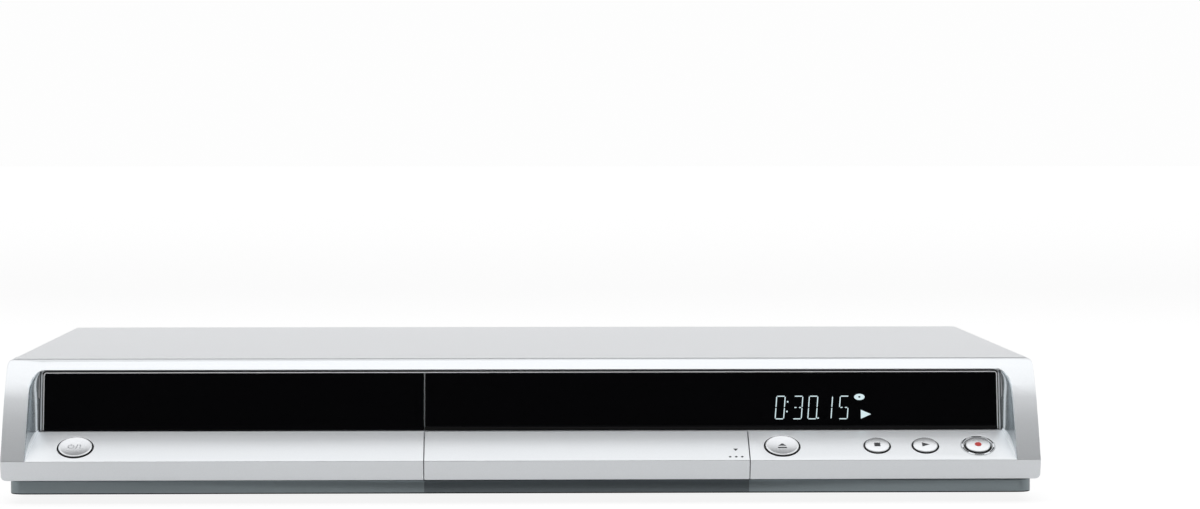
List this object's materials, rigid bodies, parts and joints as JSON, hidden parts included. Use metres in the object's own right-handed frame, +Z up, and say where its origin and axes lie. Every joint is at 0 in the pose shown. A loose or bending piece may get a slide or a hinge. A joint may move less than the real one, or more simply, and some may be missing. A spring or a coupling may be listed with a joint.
{
  "type": "dvd recorder",
  "caption": "Full-width silver disc recorder: sloping button shelf, black window with motorised tray, drop-down jack flap, rear connectors and working disc drive inside.",
  "frame": {"origin": "on the surface the feet stand on, under the middle of the whole object", "axes": "+X to the right as seen from the front, +Y from the front to the back, +Z up"},
  "size_m": [0.4318, 0.294, 0.059],
  "materials": {
    "silver_plastic": "silver metallic paint on moulded plastic",
    "silver_paint": "fine satin silver paint on steel sheet",
    "bright_trim": "bright plated strip",
    "black_gloss": "polished smoked black",
    "display": "dark glass-fronted display in a black frame",
    "grey_plastic": "dark grey satin",
    "button_silver": "light silver satin",
    "dark_plastic": "black moulded, matt",
    "zinc_steel": "zinc-plated sheet",
    "bright_steel": "ground and polished",
    "circuit_board": "green lacquered circuit board",
    "rubber": "matt black",
    "white_plastic": "natural white moulding",
    "yellow_plastic": "yellow moulding",
    "red_plastic": "red moulding",
    "aluminium": "extruded",
    "winding": "copper-taped winding on a ferrite core"
  },
  "bodies": {
    "cabinet": {"front_fascia": "silver_plastic", "window_trim": "bright_trim", "display_window": "black_gloss", "base_band": "grey_plastic", "top_cover": "silver_paint", "side_screw_1": "zinc_steel", "side_screw_2": "zinc_steel", "side_screw_3": "zinc_steel", "side_screw_4": "zinc_steel", "left_key_board": "circuit_board", "right_key_board": "circuit_board", "jack_bay": "dark_plastic", "front_video_jack": "yellow_plastic", "front_left_audio_jack": "white_plastic", "front_right_audio_jack": "red_plastic", "front_jack_board": "circuit_board", "bottom_chassis": "zinc_steel", "front_left_foot": "rubber", "front_right_foot": "rubber", "rear_left_foot": "rubber", "rear_right_foot": "rubber", "rear_panel": "zinc_steel", "rear_av_jacks": "dark_plastic", "rear_video_jacks": "dark_plastic", "tuner_box": "zinc_steel", "ac_inlet": "dark_plastic", "fan_frame": "dark_plastic", "main_board": "circuit_board", "av_board": "circuit_board", "power_board": "circuit_board", "transformer": "winding", "heat_sink": "aluminium", "display_module": "display", "front_board": "circuit_board", "drive_chassis": "dark_plastic", "loading_motor": "zinc_steel", "drive_belt": "rubber", "clamper_bridge": "zinc_steel", "drive_cable": "white_plastic"},
    "tray": {"disc_tray": "dark_plastic", "tray_cover": "black_gloss"},
    "rack_gear": {"rack_gear": "white_plastic"},
    "pulley_gear": {"pulley_gear": "white_plastic"},
    "motor_pulley": {"motor_pulley": "white_plastic"},
    "traverse": {"traverse_frame": "dark_plastic", "spindle_motor": "zinc_steel", "left_guide_rod": "bright_steel", "right_guide_rod": "bright_steel", "sled_motor": "zinc_steel"},
    "turntable": {"turntable": "dark_plastic"},
    "sled": {"pickup_sled": "dark_plastic"},
    "lead_screw": {"lead_screw": "bright_steel"},
    "clamper": {"clamper": "white_plastic"},
    "fan_rotor": {"fan_rotor": "dark_plastic"},
    "flap": {"jack_flap": "silver_plastic"},
    "power_key": {"power_button": "button_silver"},
    "open_close_key": {"open_close_button": "button_silver"},
    "stop_key": {"stop_button": "button_silver"},
    "play_key": {"play_button": "button_silver"},
    "rec_key": {"rec_button": "button_silver"}
  },
  "joints": [
    {"name": "tray_slide", "type": "slide", "parent": "cabinet", "child": "tray", "axis": [0, -1, 0], "range_m": [0, 0.14]},
    {"name": "rack_gear_turn", "type": "hinge", "parent": "cabinet", "child": "rack_gear", "pos_m": [-0.0783, -0.096, 0.033], "axis": [0, 0, 1], "range_deg": [-1005, 5]},
    {"name": "pulley_gear_turn", "type": "hinge", "parent": "cabinet", "child": "pulley_gear", "pos_m": [-0.1003, -0.096, 0.028], "axis": [0, 0, 1], "range_deg": [-5, 2680]},
    {"name": "motor_pulley_turn", "type": "hinge", "parent": "cabinet", "child": "motor_pulley", "pos_m": [-0.134, -0.096, 0.0254], "axis": [0, 0, 1], "range_deg": [-5, 9940]},
    {"name": "traverse_lift", "type": "hinge", "parent": "cabinet", "child": "traverse", "pos_m": [-0.12, 0.035, 0.0225], "axis": [-1, 0, 0], "range_deg": [0, 4.6]},
    {"name": "turntable_spin", "type": "hinge", "parent": "traverse", "child": "turntable", "pos_m": [-0.12, -0.05436, 0.03588], "axis": [0, -0.0802, 0.9968], "continuous": true},
    {"name": "sled_slide", "type": "slide", "parent": "traverse", "child": "sled", "axis": [0, 0.9968, 0.0802], "range_m": [0, 0.034]},
    {"name": "lead_screw_turn", "type": "hinge", "parent": "traverse", "child": "lead_screw", "pos_m": [-0.0895, -0.04488, 0.02159], "axis": [0, 0.9968, 0.0802], "range_deg": [-2045, 5]},
    {"name": "clamper_spin", "type": "hinge", "parent": "cabinet", "child": "clamper", "pos_m": [-0.12, -0.053, 0.05], "axis": [0, 0, 1], "continuous": true},
    {"name": "fan_spin", "type": "hinge", "parent": "cabinet", "child": "fan_rotor", "pos_m": [0.06, 0.132, 0.034], "axis": [0, 1, 0], "continuous": true},
    {"name": "flap_hinge", "type": "hinge", "parent": "cabinet", "child": "flap", "pos_m": [0.02675, -0.1428, 0.012], "axis": [1, 0, 0], "range_deg": [0, 120]},
    {"name": "power_press", "type": "slide", "parent": "cabinet", "child": "power_key", "axis": [0, 0.5128, -0.8585], "range_m": [0, 0.0008], "stiffness_N_per_m": 400},
    {"name": "open_close_press", "type": "slide", "parent": "cabinet", "child": "open_close_key", "axis": [0, 0.5128, -0.8585], "range_m": [0, 0.0008], "stiffness_N_per_m": 400},
    {"name": "stop_press", "type": "slide", "parent": "cabinet", "child": "stop_key", "axis": [0, 0.5128, -0.8585], "range_m": [0, 0.0008], "stiffness_N_per_m": 400},
    {"name": "play_press", "type": "slide", "parent": "cabinet", "child": "play_key", "axis": [0, 0.5128, -0.8585], "range_m": [0, 0.0008], "stiffness_N_per_m": 400},
    {"name": "rec_press", "type": "slide", "parent": "cabinet", "child": "rec_key", "axis": [0, 0.5128, -0.8585], "range_m": [0, 0.0008], "stiffness_N_per_m": 400}
  ],
  "couplings": [
    {"joint": "rack_gear_turn", "follows": "tray_slide", "rad_per_m": -125},
    {"joint": "pulley_gear_turn", "follows": "tray_slide", "rad_per_m": 333.33},
    {"joint": "motor_pulley_turn", "follows": "tray_slide", "rad_per_m": 1238.1},
    {"joint": "lead_screw_turn", "follows": "sled_slide", "rad_per_m": -1047.2}
  ]
}
